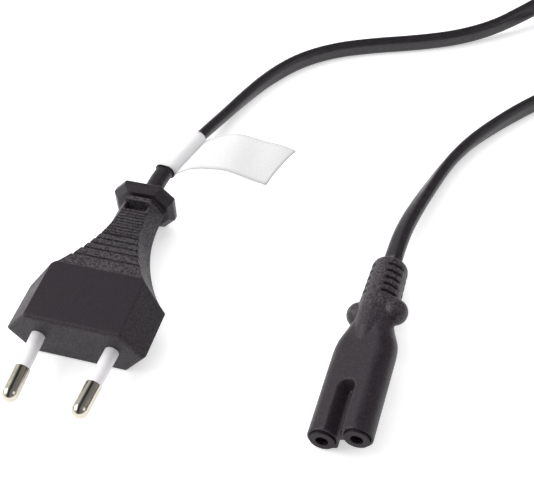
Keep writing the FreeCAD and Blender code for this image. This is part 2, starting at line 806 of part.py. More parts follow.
def plug_outer():
    body = new_body("PlugForm")
    half_width = size("plug_half_width")
    flat_half = size("plug_flat_half")
    top = size("plug_half_thickness")
    side_length = size("plug_side_length")
    top_length = size("plug_top_length")
    end = size("grip_length")
    end_half = size("grip_end_half_width")
    inset = size("grip_edge_inset")
    front = new_sketch(body, "PlugSection", "XZ_Plane", 0.0)
    hexagon(front, half_width, flat_half, top)
    block_pad = pad(body, front, side_length, reverse=True)
    doc.recompute()
    edge_round(body, block_pad, "plug_edge_round", lambda edge: edge.BoundBox.YMax < 0.01)
    fall = (top - size("grip_end_thickness")) / (size("grip_slot_start") - top_length)
    sections = []
    for index, (behind, share, spare) in enumerate(GRIP_STATIONS):
        place = side_length + behind
        section = new_sketch(body, "Grip%d" % index, "XZ_Plane", place)
        wide = end_half + (half_width - end_half) * share
        height = top - fall * (place - top_length) + spare
        hexagon(section, wide, wide - inset, height)
        sections.append(section)
    last = new_sketch(body, "GripEnd", "XZ_Plane", end + 0.2)
    hexagon(last, end_half, end_half - inset, size("grip_end_thickness") + 0.2)
    sections.append(last)
    loft(body, sections)
    trim = new_sketch(body, "PlugTrim", "XZ_Plane", side_length - 1.0)
    wide = half_width + 6.0
    high = top + 6.0
    polygon(trim, [(wide, -high), (wide, high), (-wide, high), (-wide, -high)])
    hexagon(trim, half_width, flat_half, top)
    pocket(body, trim, top_length - side_length + 1.0)
    ribs = new_sketch(body, "Ribs", "YZ_Plane")
    polygon(ribs, rib_profile())
    mirrored(body, pocket(body, ribs), "XY_Plane")
    rim = size("collar_rim")
    slot = new_sketch(body, "GripSlot", "XY_Plane", size("grip_slot_floor"))
    start = size("grip_slot_start")
    slot_end = start + size("grip_slot_length")
    half = size("grip_slot_half")
    polygon(slot, [(-half, start), (half, start), (half, slot_end), (-half, slot_end)])
    mirrored(body, pocket(body, slot, top, reverse=True), "XY_Plane")
    bar = new_sketch(body, "GripBar", "XZ_Plane", slot_end)
    bar_half = size("grip_bar_half")
    bar_height = size("grip_bar_height")
    corners = [(bar_half * x, bar_height * y) for x, y in ((1, -1), (1, 1), (-1, 1), (-1, -1))]
    polygon(bar, corners)
    pad(body, bar, size("grip_bar_length"), reverse=True)
    rear = end + size("collar_thickness")
    stations = [(end + rim * share, rim * step_in) for share, step_in in COLLAR_FRONT]
    stations += [(rear - rim * share, rim * step_in) for share, step_in in COLLAR_REAR]
    collar = []
    for index, (place, step_in) in enumerate(stations):
        ring = new_sketch(body, "Collar%d" % index, "XZ_Plane", place)
        octagon(ring, step_in)
        collar.append(ring)
    loft(body, collar, ruled=True)
    return body


def pin_turned(name, corners, tip_radius=None):
    """A turned piece about Y from its half profile; with a tip radius its first edge is a quarter circle."""
    body = new_body(name)
    profile = new_sketch(body, name + "Profile", "XY_Plane")
    polygon(profile, corners, tip_radius)
    turned(body, profile)
    return body


def bushing(name, inner, outer, start, end):
    """A turned ring about Y, or a plain pin where the inner radius is 0."""
    return pin_turned(name, [(inner, start), (outer, start), (outer, end), (inner, end)])


def plug_parts():
    collar_end = size("grip_length") + size("collar_thickness")
    sheath_start = collar_end - size("sheath_end_length")
    front = size("carrier_front")
    carrier_end = front + size("pin_carrier_depth")
    pin_r = size("pin_radius")
    shank = size("pin_shank_radius")
    sleeve_r = size("sleeve_radius")
    pin_end = size("pin_tail_length")
    crimp = size("pin_crimp_radius")
    crimp_end = pin_end + size("pin_crimp_length")
    core_start = crimp_end + 0.8
    strand = size("strand_radius")
    spacing = size("pin_spacing_half")
    lean = size("pin_lean").number
    places = {}
    for side in (-1, 1):
        places[side] = Placement(Vector(side * spacing.number, 0, 0), Rotation(Vector(0, 0, 1), -side * lean))

    def leaning(thing, side):
        thing.Placement = places[side].multiply(thing.Placement)
        return thing

    outer = plug_outer()
    half_width = size("pin_carrier_half_width")
    half_height = size("pin_carrier_half_height")
    depth = size("pin_carrier_depth")
    room_depth = depth + clear * 2
    room = [block("PinCarrierRoom", half_width + clear, front - clear, room_depth, half_height + clear)]
    room.append(oval_prism("PlugSheathRoom", sheath_start - clear, collar_end - sheath_start + 1.0, clear))
    core_path = {}
    for side in (-1, 1):
        mouth = bushing("SleeveRoom%d" % side, 0.0, sleeve_r + clear, -1.0, front + 0.5)
        tail = bushing("CrimpRoom%d" % side, 0.0, shank + clear, front + 1.0, crimp_end + clear)
        room += [leaning(mouth, side), leaning(tail, side)]
        start = places[side].multVec(Vector(0, core_start.number, 0))
        onward = places[side].multVec(Vector(0, crimp_end.number + 4.0, 0))
        path = [
            (start.x, start.y, 0),
            (onward.x, onward.y, 0),
            (side * core_x.number, sheath_start.number - 2.0, 0),
            (side * core_x.number, collar_end.number, 0),
        ]
        core_path[side] = path
        inside = places[side].multVec(Vector(0, crimp_end.number - 1.0, 0))
        room_end = (path[3][0], sheath_start.number + 1.0, 0)
        wide = [(inside.x, inside.y, 0), path[1], path[2], room_end]
        room.append(solid_feature("PlugCoreRoom%d" % side, round_tube(wide, (core_r + clear).number)))
    node(cut("PlugBody", outer, fused("PlugRoom", room)), "plug_body", PLUG_PLACE)

    carrier = block("PinCarrierForm", half_width, front, depth, half_height)
    holes = []
    for side in (-1, 1):
        hole = bushing("PinHole%d" % side, 0.0, shank + clear, front - 1.0, carrier_end + 1.0)
        holes.append(leaning(hole, side))
    node(cut("PinCarrier", carrier, fused("PinHoles", holes)), "pin_carrier", PLUG_PLACE)

    for side, name in ((-1, "left"), (1, "right")):
        tip = -size("pin_length")
        head = -size("sleeve_length")
        wire_room = pin_end + 0.5
        corners = [
            (0.0, tip),
            (pin_r, tip + pin_r),
            (pin_r, head),
            (shank, head),
            (shank, pin_end),
            (crimp, pin_end),
            (crimp, crimp_end),
            (strand + clear, crimp_end),
            (strand + clear, wire_room),
            (0.0, wire_room),
        ]
        pin = leaning(pin_turned("Pin" + name, corners, pin_r), side)
        node(pin, "plug_pin_" + name, PLUG_PLACE)
        sleeve = bushing("Sleeve" + name, shank + clear, sleeve_r, head, front - clear * 3)
        node(leaning(sleeve, side), "pin_sleeve_" + name, PLUG_PLACE)
        wire = bushing("PlugStrand" + name, 0.0, strand, wire_room + clear, core_start)
        node(leaning(wire, side), "plug_strand_" + name, PLUG_PLACE)
        core = solid_feature("PlugCore" + name, round_tube(core_path[side], core_r.number))
        node(core, "plug_core_" + name, PLUG_PLACE)
    sheath_end("plug_sheath_end", collar_end, PLUG_PLACE)


# Cord, coil, ties and paper wrap
def cord_parts():
    width = size("cord_width").number
    thickness = size("cord_thickness").number
    gap = size("turn_gap").number
    columns = round(size("coil_columns").number)
    layers = round(size("coil_layers").number)
    mean = size("coil_mean_radius").number
    tie = size("tie_thickness").number
    soft = size("soft_clearance").number
    centre = Vector(size("coil_x").number, size("coil_y").number, tie + soft)
    ring_width = columns * width + (columns - 1) * gap
    ring_height = layers * thickness + (layers - 1) * gap
    outer_turn = mean + ring_width / 2 - width / 2
    tail = size("coil_tail_length").number
    low = tie + soft + thickness / 2
    middle_layer = low + thickness + gap

    # one tail enters in the coil's lowest layer on the near side, the other leaves the layer above it
    enter_angle = math.radians(size("coil_enter_angle").number)
    leave_angle = math.radians(size("coil_leave_angle").number)
    approach = size("coil_approach").number
    tails = []
    for angle, way, level in ((enter_angle, -1, low), (leave_angle, 1, middle_layer)):
        outward = Vector(math.cos(angle), math.sin(angle), 0)
        touch = Vector(centre.x, centre.y, level) + outward * outer_turn
        onward = Vector(-math.sin(angle), math.cos(angle), 0) * way
        tails.append((touch, touch + onward * tail, onward))

    inside = mean - ring_width / 2
    outside = mean + ring_width / 2
    corner = thickness / 2
    slope = corner * (1 - math.sqrt(0.5))
    # each side of the ring's section, and the middle of the rounding that follows it
    sides = [
        ((inside + corner, 0), (outside - corner, 0), (outside - slope, slope)),
        ((outside, corner), (outside, ring_height - corner), (outside - slope, ring_height - slope)),
        (
            (outside - corner, ring_height),
            (inside + corner, ring_height),
            (inside + slope, ring_height - slope),
        ),
        ((inside, ring_height - corner), (inside, corner), (inside + slope, slope)),
    ]
    spots = [[Vector(x, 0, z) for x, z in side] for side in sides]
    edges = []
    for (start, end, middle), (following, _, _) in zip(spots, spots[1:] + spots[:1]):
        edges.append(Part.LineSegment(start, end).toShape())
        edges.append(Part.Arc(end, middle, following).toShape())
    ring = Part.Face(Part.Wire(edges)).revolve(Vector(0, 0, 0), Vector(0, 0, 1), 360)
    ring.translate(centre)
    solid = ring
    for touch, end, onward in tails:
        section = Part.Face(flat_section(touch, onward, width, thickness))
        solid = solid.fuse(section.extrude(onward * tail))
    coil = solid_feature("CordCoil", solid.removeSplitter())

    def route(exit_point, lead_out, points, tail_end, onward):
        """The exit, a straight lead out of it, the hand-chosen points, and a straight run into a tail."""
        start = [exit_point, exit_point + Vector(0, lead_out, 0)]
        finish = [tail_end + onward * approach, tail_end]
        return start + [Vector(*point) for point in points] + finish

    first = route(Vector(0, half_length, axis_height), size("connector_lead_out").number,
                  CONNECTOR_ROUTE, tails[0][1], tails[0][2])
    tube, first_length = cord_tube(first, width, thickness, "cord_connector_side")
    near = solid_feature("CordConnectorSide", tube)
    collar_end = (size("grip_length") + size("collar_thickness")).number
    plug_exit = PLUG_PLACE.multVec(Vector(0, collar_end, 0))
    second = route(plug_exit, size("plug_lead_out").number, PLUG_ROUTE, tails[1][1], tails[1][2])
    tube, second_length = cord_tube(second, width, thickness, "cord_plug_side")
    far = solid_feature("CordPlugSide", tube)
    coiled = size("cord_length").number - first_length - second_length
    turn = 2 * math.pi * mean
    print("coil: %.1f mm in it, %.2f turns of %.1f mm" % (coiled, coiled / turn, turn))
    node(near, "cord_connector_side", None)
    node(coil, "cord_coil", None)
    node(far, "cord_plug_side", None)

    tie_width = size("tie_width").number
    for name, angle in (("near", 20), ("far", 200)):
        inner_w = ring_width + 2 * soft
        inner_h = ring_height + 2 * soft
        outer_box = Part.makeBox(inner_w + 2 * tie, tie_width, inner_h + 2 * tie)
        hollow = Part.makeBox(inner_w, tie_width + 2, inner_h, Vector(tie, -1, tie))
        band = outer_box.cut(hollow)
        band.translate(Vector(mean - inner_w / 2 - tie, -tie_width / 2, 0))
        band.rotate(Vector(0, 0, 0), Vector(0, 0, 1), angle)
        band.translate(Vector(centre.x, centre.y, 0))
        node(solid_feature("Tie" + name, band), "cord_tie_" + name, None)

    # paper wrap: a loop round one straight run of the cord and a flag that arches off to the right
    start = Vector(*PLUG_ROUTE[0])
    end = Vector(*PLUG_ROUTE[1])
    along = (end - start).normalize()
    middle = start + (end - start) * size("wrap_centre").number
    across = along.cross(Vector(0, 0, 1)).normalize()
    up = across.cross(along).normalize()
    paper = size("wrap_thickness").number
    reach = size("wrap_reach").number
    wrap_width = size("wrap_width").number
    loose = size("wrap_clearance").number
    hole = flat_section(middle, along, width + 2 * loose, thickness + 2 * loose)
    skin = flat_section(middle, along, width + 2 * loose + 2 * paper, thickness + 2 * loose + 2 * paper)
    loop = Part.Face(skin).extrude(along * wrap_width).cut(Part.Face(hole).extrude(along * wrap_width))
    top_line = thickness / 2 + loose
    arch = size("wrap_arch").number
    aside = Vector(1, 0, 0)

    def flag_point(share, above):
        rise = top_line + arch * math.sin(math.pi * share * 0.75) + above
        return middle + aside * (reach * share) + up * rise

    outline = [
        Part.Arc(flag_point(0, 0), flag_point(0.5, 0), flag_point(1, 0)).toShape(),
        Part.LineSegment(flag_point(1, 0), flag_point(1, paper)).toShape(),
        Part.Arc(flag_point(1, paper), flag_point(0.5, paper), flag_point(0, paper)).toShape(),
        Part.LineSegment(flag_point(0, paper), flag_point(0, 0)).toShape(),
    ]
    flag = Part.Face(Part.Wire(outline)).extrude(along * wrap_width)
    label = loop.fuse(flag)
    label.translate(along * (-wrap_width / 2))
    node(solid_feature("CordLabel", label.removeSplitter()), "cord_label", None)


connector_parts()
plug_parts()
cord_parts()
doc.recompute()

# Every feature and every sub-part has to be whole before anything is written
for thing in doc.Objects:
    if "Invalid" in thing.State or "Error" in thing.State:
        raise SystemExit("%s did not compute: %s" % (thing.Label, thing.getStatusString()))
for thing in nodes:
    shape = thing.Shape
    if shape.isNull() or not shape.isValid() or shape.Volume <= 0 or len(shape.Solids) != 1:
        raise SystemExit("%s is not one valid solid (%d solids)" % (thing.Label, len(shape.Solids)))

os.makedirs("parts", exist_ok=True)
for thing in nodes:
    thing.Shape.exportStep(os.path.join("parts", thing.Label + ".step"))
    box = thing.Shape.BoundBox
    print("%-22s %9.1f mm3  x %.2f..%.2f  y %.2f..%.2f  z %.2f..%.2f" % (
        thing.Label, thing.Shape.Volume, box.XMin, box.XMax, box.YMin, box.YMax, box.ZMin, box.ZMax))
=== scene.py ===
# %% [markdown]
# A figure eight power lead: the small two-hole connector, the flat cord, a blank paper wrap and
# the two-pin plug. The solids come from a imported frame. This file gives every piece its finish
# and makes the soft pieces, the cord and the paper, as meshes of their own.

# %% Load the frame
import json
import math

import bpy
import bmesh
from mathutils import Matrix, Vector

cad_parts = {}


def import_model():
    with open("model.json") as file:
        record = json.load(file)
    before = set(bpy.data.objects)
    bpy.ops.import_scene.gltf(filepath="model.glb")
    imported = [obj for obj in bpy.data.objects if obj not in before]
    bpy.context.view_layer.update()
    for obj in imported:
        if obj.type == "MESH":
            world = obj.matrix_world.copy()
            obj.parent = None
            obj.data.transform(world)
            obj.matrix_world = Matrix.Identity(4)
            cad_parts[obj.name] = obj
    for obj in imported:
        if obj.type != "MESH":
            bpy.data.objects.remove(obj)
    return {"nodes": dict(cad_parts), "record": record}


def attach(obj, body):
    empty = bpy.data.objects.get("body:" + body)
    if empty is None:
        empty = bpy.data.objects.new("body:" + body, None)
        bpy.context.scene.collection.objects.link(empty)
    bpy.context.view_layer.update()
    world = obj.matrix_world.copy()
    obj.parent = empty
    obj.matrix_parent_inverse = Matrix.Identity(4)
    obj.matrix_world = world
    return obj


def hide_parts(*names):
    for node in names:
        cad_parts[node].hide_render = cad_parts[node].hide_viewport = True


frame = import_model()
scene = bpy.context.scene
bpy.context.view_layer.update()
nodes = frame["nodes"]
print(len(nodes), "solids in the frame")

MM = 0.001


def mm(*numbers):
    """A point or a vector given in millimetres."""
    return Vector(numbers) * MM


# %% [markdown]
# The camera stands where the photographer stood: a long lens, well above the floor, turned a
# little to the right of the connector. Three turns give its attitude: the heading about the
# upright axis, the tilt down from the horizon, and a slight lean of the horizon.

# %% Camera
# the picture's width and the focal length in pixels, and the sensor's width in millimetres
FRAME_WIDTH = 534
FOCAL_PIXELS = 1164.6
SENSOR_WIDTH = 36
CAMERA_PLACE = mm(32.88, -163.17, 221.22)
HEADING = math.radians(18.94)
TILT = math.radians(47.52)
LEAN = math.radians(3.25)

camera_data = bpy.data.cameras.new("camera")
camera_data.sensor_width = SENSOR_WIDTH
camera_data.lens = FOCAL_PIXELS / FRAME_WIDTH * SENSOR_WIDTH
camera = bpy.data.objects.new("camera", camera_data)
camera.matrix_world = (
    Matrix.Translation(CAMERA_PLACE)
    @ Matrix.Rotation(HEADING, 4, "Z")
    @ Matrix.Rotation(math.pi / 2 - TILT, 4, "X")
    @ Matrix.Rotation(-LEAN, 4, "Z")
)
scene.collection.objects.link(camera)
scene.camera = camera
print("lens", round(camera_data.lens, 2), "mm")

# %% [markdown]
# Every material is procedural: its colour, dullness and relief come from noise that is laid over
# the object's own coordinates. A painted picture would need its surfaces unfolded first, and
# these plastics have no pattern worth that. Each kind of node that the materials need is made by
# one small helper, so that a material reads as a few plain lines.

# %% Start a material
USUAL_SPECULAR = 0.5


def new_material(name, color, roughness, metallic=0.0, specular=USUAL_SPECULAR):
    """A material with one Principled shader; returns it with its node tree and its shader."""
    material = bpy.data.materials.new(name)
    material.use_nodes = True
    tree = material.node_tree
    shader = tree.nodes["Principled BSDF"]
    shader.inputs["Base Color"].default_value = (*color, 1)
    shader.inputs["Roughness"].default_value = roughness
    shader.inputs["Metallic"].default_value = metallic
    shader.inputs["Specular IOR Level"].default_value = specular
    return material, tree, shader


def object_coordinates(tree, stretch=(1, 1, 1)):
    """Object coordinates, optionally stretched along the axes."""
    place = tree.nodes.new("ShaderNodeTexCoord")
    mapping = tree.nodes.new("ShaderNodeMapping")
    mapping.inputs["Scale"].default_value = stretch
    tree.links.new(place.outputs["Object"], mapping.inputs["Vector"])
    return mapping.outputs["Vector"]


def one_axis(tree, vector, axis):
    """One coordinate of a vector."""
    split = tree.nodes.new("ShaderNodeSeparateXYZ")
    tree.links.new(vector, split.inputs["Vector"])
    return split.outputs[axis]


print("helpers for a material and for places on it")


# %% Noise, ranges and arithmetic
def noise(tree, vector, scale, detail):
    """Soft noise with about as many spots in a metre as its scale says."""
    node = tree.nodes.new("ShaderNodeTexNoise")
    node.inputs["Scale"].default_value = scale
    node.inputs["Detail"].default_value = detail
    tree.links.new(vector, node.inputs["Vector"])
    return node.outputs["Fac"]


def ranged(tree, value, low, high, from_low=0.3, from_high=0.7):
    """A value carried over from one range to another."""
    node = tree.nodes.new("ShaderNodeMapRange")
    node.inputs["From Min"].default_value = from_low
    node.inputs["From Max"].default_value = from_high
    node.inputs["To Min"].default_value = low
    node.inputs["To Max"].default_value = high
    tree.links.new(value, node.inputs["Value"])
    return node.outputs["Result"]


def combined(tree, operation, *values):
    """The result of one piece of arithmetic on one or two values."""
    node = tree.nodes.new("ShaderNodeMath")
    node.operation = operation
    for value, entry in zip(values, node.inputs):
        tree.links.new(value, entry)
    return node.outputs["Value"]


print("helpers for noise and numbers")


# %% Colours and relief
def blended(tree, factor, first, second):
    """A colour between two, led by a factor; each is a plain colour or comes from another node."""
    node = tree.nodes.new("ShaderNodeMix")
    node.data_type = "RGBA"
    tree.links.new(factor, node.inputs["Factor"])
    for entry, color in (("A", first), ("B", second)):
        if isinstance(color, bpy.types.NodeSocket):
            tree.links.new(color, node.inputs[entry])
        else:
            node.inputs[entry].default_value = (*color, 1)
    return node.outputs["Result"]


def raised(tree, shader, height, strength, distance):
    """A small relief on a surface."""
    node = tree.nodes.new("ShaderNodeBump")
    node.inputs["Strength"].default_value = strength
    node.inputs["Distance"].default_value = distance
    tree.links.new(height, node.inputs["Height"])
    tree.links.new(node.outputs["Normal"], shader.inputs["Normal"])


print("helpers for colours and relief")

# %% [markdown]
# The cord's sheath is soft black plastic, extruded smooth, so it shines a little. The carrier
# that shows at the connector's face and the ties are stiffer and duller. All three are one
# recipe: a small noise drifts between two blacks and lifts the surface a trace, and a larger one
# varies the dullness, so that no area is one flat colour.

# %% Sheath, carrier and ties
MOULDING_BLACK = (0.0135, 0.0092, 0.0132)
MOULDING_WORN = (0.028, 0.0215, 0.028)
SHEATH_BLACK = (0.0135, 0.0105, 0.0138)
SHEATH_LIGHT = (0.023, 0.0192, 0.0235)
PATCHES_PER_METRE = 180.0


def grained(name, dark, light, roughness, grain_size, depth, specular=USUAL_SPECULAR):
    """Plastic with one grain, whose size and depth are in metres."""
    material, tree, shader = new_material(name, dark, roughness, specular=specular)
    place = object_coordinates(tree)
    grain = noise(tree, place, 1 / grain_size, detail=2.0)
    patches = noise(tree, place, PATCHES_PER_METRE, detail=4.0)
    light_share = ranged(tree, grain, 0.0, 1.0, from_low=0.35, from_high=0.75)
    tree.links.new(blended(tree, light_share, dark, light), shader.inputs["Base Color"])
    dullness = ranged(tree, patches, roughness - 0.05, roughness + 0.07)
    tree.links.new(dullness, shader.inputs["Roughness"])
    raised(tree, shader, grain, strength=0.5, distance=depth)
    return material


# two colours, roughness, and the grain's size and depth
sheath = grained("sheath", SHEATH_BLACK, SHEATH_LIGHT, 0.34, 0.0012, 0.00002)
insert = grained("insert", MOULDING_BLACK, MOULDING_WORN, 0.5, 0.0006, 0.00003, specular=0.2)
tie = grained("tie", SHEATH_BLACK, SHEATH_LIGHT, 0.4, 0.0008, 0.00004)
print("plain black plastics:", sheath.name, insert.name, tie.name)

# %% [markdown]
# The two mouldings come out of steel tools that are spark-eroded, which leaves a grain. There are
# two grains: a coarse one that shows paler specks, and a fine dark one. On the plug the fine one
# is on the flat panels at the front and, smoother still, on the collar, and the grip is coarse.
# On the connector the front is fine, and it grows coarser towards the cord. One material could be
# given to each face instead, but the rebuilt mesh below doesn't keep the faces. So a mask chooses
# the grain by the place along the lead, and on the plug also by how level the surface lies.

# %% Where the fine grain lies
# places along the lead, in metres
PANEL_END = 0.0005
COLLAR_START = 0.0276
SHARP_FADE = 0.0003
CONNECTOR_FINE_END = 0.014
CONNECTOR_FADE = 0.014
COLLAR_FINENESS = 0.8
# share of the fine grain on sloping faces, and how level a face has to be to have it all
SLOPE_FINENESS = 0.62
LEVEL_FROM = 0.86
LEVEL_TO = 0.97


def before(tree, place, end, fade):
    """1 ahead of a place along the lead, and 0 behind it."""
    return ranged(tree, one_axis(tree, place, "Y"), 1.0, 0.0, end - fade, end)


def plug_masks(tree, place):
    """Where the plug's grain is fine, and where its collar is."""
    normal = tree.nodes.new("ShaderNodeNewGeometry").outputs["Normal"]
    upward = combined(tree, "ABSOLUTE", one_axis(tree, normal, "Z"))
    level = ranged(tree, upward, SLOPE_FINENESS, 1.0, LEVEL_FROM, LEVEL_TO)
    panel = combined(tree, "MULTIPLY", level, before(tree, place, PANEL_END, SHARP_FADE))
    along = one_axis(tree, place, "Y")
    collar = ranged(tree, along, 0.0, 1.0, COLLAR_START - SHARP_FADE, COLLAR_START)
    fine_collar = ranged(tree, collar, 0.0, COLLAR_FINENESS, 0.0, 1.0)
    return combined(tree, "MAXIMUM", panel, fine_collar), collar


def connector_masks(tree, place):
    """Where the connector's grain is fine; it has no collar."""
    return before(tree, place, CONNECTOR_FINE_END, CONNECTOR_FADE), None


print("fine grain ahead of", PANEL_END / MM, "mm on the plug")

# %% The two mouldings
COARSE_DARK = (0.016, 0.0122, 0.0162)
COARSE_LIGHT = (0.086, 0.077, 0.087)
COARSE_GRAIN_PER_METRE = 2200.0
COARSE_DEPTH = 0.0001
FINE_RELIEF = 0.25
COLLAR_SHINE = 0.2


def two_grains(name, masks, fine_size, roughness):
    """Plastic with a coarse grain and a fine one; masks tells where each is."""
    material, tree, shader = new_material(name, COARSE_DARK, roughness, specular=0.35)
    place = object_coordinates(tree)
    fine_part, shiny_part = masks(tree, place)
    coarse = noise(tree, place, COARSE_GRAIN_PER_METRE, detail=3.0)
    fine = noise(tree, place, 1 / fine_size, detail=2.0)
    coarse_share = ranged(tree, coarse, 0.0, 1.0, from_low=0.38, from_high=0.68)
    coarse_color = blended(tree, coarse_share, COARSE_DARK, COARSE_LIGHT)
    fine_share = ranged(tree, fine, 0.0, 1.0, from_low=0.35, from_high=0.7)
    fine_color = blended(tree, fine_share, MOULDING_BLACK, MOULDING_WORN)
    color = blended(tree, fine_part, coarse_color, fine_color)
    tree.links.new(color, shader.inputs["Base Color"])
    patches = noise(tree, place, PATCHES_PER_METRE, detail=4.0)
    dullness = ranged(tree, patches, roughness - 0.06, roughness + 0.06)
    if shiny_part is not None:
        shine = ranged(tree, shiny_part, 0.0, COLLAR_SHINE, 0.0, 1.0)
        dullness = combined(tree, "SUBTRACT", dullness, shine)
    tree.links.new(dullness, shader.inputs["Roughness"])
    relief = ranged(tree, fine_part, 1.0, FINE_RELIEF, 0.0, 1.0)
    height = combined(tree, "MULTIPLY", coarse, relief)
    raised(tree, shader, height, strength=0.6, distance=COARSE_DEPTH)
    return material


plug_moulding = two_grains("plug_moulding", plug_masks, fine_size=0.00022, roughness=0.56)
connector_moulding = two_grains(
    "connector_moulding", connector_masks, fine_size=0.0005, roughness=0.46
)
print("mouldings:", plug_moulding.name, connector_moulding.name)

# %% [markdown]
# The pins are nickel plated brass: bright metal with a warm tint and faint turning marks round
# them. A painted relief could show the marks, but noise that is stretched across the pins gives
# them without a picture. The contacts and the copper strands are seen only through the holes or
# not at all, and share the recipe.

# %% Metals
ACROSS_STRETCH = (0.2, 1.0, 0.2)
METAL_PATCHES_PER_METRE = 500.0


def metal(name, color, roughness, marks_per_metre, mark_depth):
    """Bright metal with fine turning marks, which run round the pin's length."""
    material, tree, shader = new_material(name, color, roughness, metallic=1.0)
    marks = noise(tree, object_coordinates(tree, ACROSS_STRETCH), marks_per_metre, detail=2.0)
    patches = noise(tree, object_coordinates(tree), METAL_PATCHES_PER_METRE, detail=3.0)
    dullness = ranged(tree, patches, roughness - 0.03, roughness + 0.05)
    tree.links.new(dullness, shader.inputs["Roughness"])
    raised(tree, shader, marks, strength=0.3, distance=mark_depth)
    return material


# colour, roughness, marks in a metre and their depth
nickel = metal("nickel", (0.6, 0.555, 0.48), 0.17, 9000.0, 0.000004)
brass = metal("brass", (0.72, 0.52, 0.24), 0.3, 6000.0, 0.000006)
copper = metal("copper", (0.72, 0.36, 0.2), 0.35, 6000.0, 0.00001)
print("metals:", nickel.name, brass.name, copper.name)

# %% [markdown]
# The sleeves on the pins are white nylon, the two cores have brown and blue insulation, and the
# wrap is plain paper. One flat colour would do from far away. Up close none of them is so even, so
# each drifts between two near shades.

# %% Nylon, cores and paper
PLAIN_DEPTH = 0.00002


def drifting(name, first, second, roughness, patches_per_metre=700.0):
    """A smooth surface whose colour and dullness drift a little."""
    material, tree, shader = new_material(name, first, roughness, specular=0.45)
    patches = noise(tree, object_coordinates(tree), patches_per_metre, detail=4.0)
    color = blended(tree, ranged(tree, patches, 0.0, 1.0), first, second)
    tree.links.new(color, shader.inputs["Base Color"])
    dullness = ranged(tree, patches, roughness - 0.04, roughness + 0.05)
    tree.links.new(dullness, shader.inputs["Roughness"])
    raised(tree, shader, patches, strength=0.3, distance=PLAIN_DEPTH)
    return material


# two near colours and the roughness
sleeve = drifting("sleeve", (0.86, 0.838, 0.865), (0.82, 0.8, 0.83), 0.4)
core_brown = drifting("core_brown", (0.16, 0.07, 0.03), (0.2, 0.09, 0.045), 0.45)
core_blue = drifting("core_blue", (0.04, 0.12, 0.42), (0.05, 0.15, 0.5), 0.45)
paper = drifting(
    "paper", (0.77, 0.765, 0.775), (0.72, 0.715, 0.725), 0.7, patches_per_metre=1500.0
)
print("others:", sleeve.name, core_brown.name, core_blue.name, paper.name)

# %% [markdown]
# The record that comes with the frame says which finish each solid has. So no solid is named
# here, apart from the connector's moulding, whose grain lies otherwise than the plug's.

# %% Give the solids their finishes
finishes = {
    "moulding": plug_moulding,
    "insert": insert,
    "sheath": sheath,
    "sleeve": sleeve,
    "nickel": nickel,
    "brass": brass,
    "copper": copper,
    "core_brown": core_brown,
    "core_blue": core_blue,
    "paper": paper,
    "tie": tie,
}
for subpart in frame["record"]["subparts"]:
    solid = nodes[subpart["node"]]
    if not solid.material_slots:
        solid.data.materials.append(None)
    for material_slot in solid.material_slots:
        material_slot.material = finishes[subpart["material_slot"]]
nodes["connector_body"].material_slots[0].material = connector_moulding

# %% [markdown]
# A moulding has no sharp edge: the tool is cut with a ball-nosed cutter and the soft plastic
# shrinks a little. A bevel would have to find its way round every rib and slot. So both mouldings
# are rebuilt as a fine even mesh, which is then smoothed by a few steps. That rounds each edge
# and melts the two ears of the connector into its body, without moving a face. The plug's cubes
# are smaller, because its narrowest grooves would close in larger ones.

# %% Soften the mouldings
def softened(solid, voxel, steps, kept_share):
    """Modifiers that rebuild a solid from small cubes, smooth it and thin it where it is flat."""
    rebuilt = solid.modifiers.new("rebuilt", "REMESH")
    rebuilt.mode = "VOXEL"
    rebuilt.voxel_size = voxel * MM
    rebuilt.use_smooth_shade = True
    smoothed = solid.modifiers.new("smoothed", "SMOOTH")
    smoothed.factor = 0.5
    smoothed.iterations = steps
    thinned = solid.modifiers.new("thinned", "DECIMATE")
    thinned.ratio = kept_share
    print(solid.name, "rebuilt at", voxel, "mm")


softened(nodes["connector_body"], voxel=0.2, steps=5, kept_share=0.7)
softened(nodes["plug_body"], voxel=0.125, steps=3, kept_share=0.22)

# %% [markdown]
# Two soft ties hold the turns of the coil together. They are flat strips with few edges, so there
# a plain bevel is enough, and nothing has to be rebuilt.

# %% Round the ties
TIE_EDGE = 0.28
for tie_name in ("cord_tie_near", "cord_tie_far"):
    rounded = nodes[tie_name].modifiers.new("rounded", "BEVEL")
    rounded.width = TIE_EDGE * MM
    rounded.segments = 3
    print(tie_name, "rounded by", TIE_EDGE, "mm")

# %% [markdown]
# The cord is one flat two-core lead from the connector to the plug. Its route is a smooth spline
# through control points: a straight lead out of the connector, listed points along the
# floor, the turns of the put-away coil, and listed points back to the plug. All are in
# millimetres.

# %% Cord sizes and listed points
CORD_WIDTH = 4.9
CORD_THICKNESS = 3.2
CONNECTOR_EXIT = Vector((0, 26.3, 5.417))
PLUG_EXIT = Vector((-66.06, 31.6, 6.85))
CONNECTOR_LEAD_OUT = 9.2
PLUG_LEAD_OUT = 6.4

CONNECTOR_ROUTE = [
    (1.2, 46.39, 3.9),
    (3.7, 58.09, 2.6),
    (6.4, 68.89, 1.8),
    (10.2, 78.39, 1.6),
    (16.2, 87.79, 1.6),
    (24.1, 98.19, 1.6),
    (32.8, 107.19, 1.9),
]
PLUG_ROUTE = [
    (-65.4, 44.49, 6.5),
    (-62.4, 57.29, 4.7),
    (-59.3, 69.59, 2.6),
    (-56.0, 81.09, 1.6),
    (-51.5, 91.69, 1.6),
    (-45.0, 101.89, 1.6),
    (-36.0, 109.39, 1.6),
    (-24.9, 114.49, 1.6),
    (-12.9, 118.79, 1.6),
    (-1.5, 123.79, 1.7),
    (8.6, 130.39, 2.4),
    (17.0, 138.29, 4.1),
]
print(len(CONNECTOR_ROUTE) + len(PLUG_ROUTE), "hand-placed points")

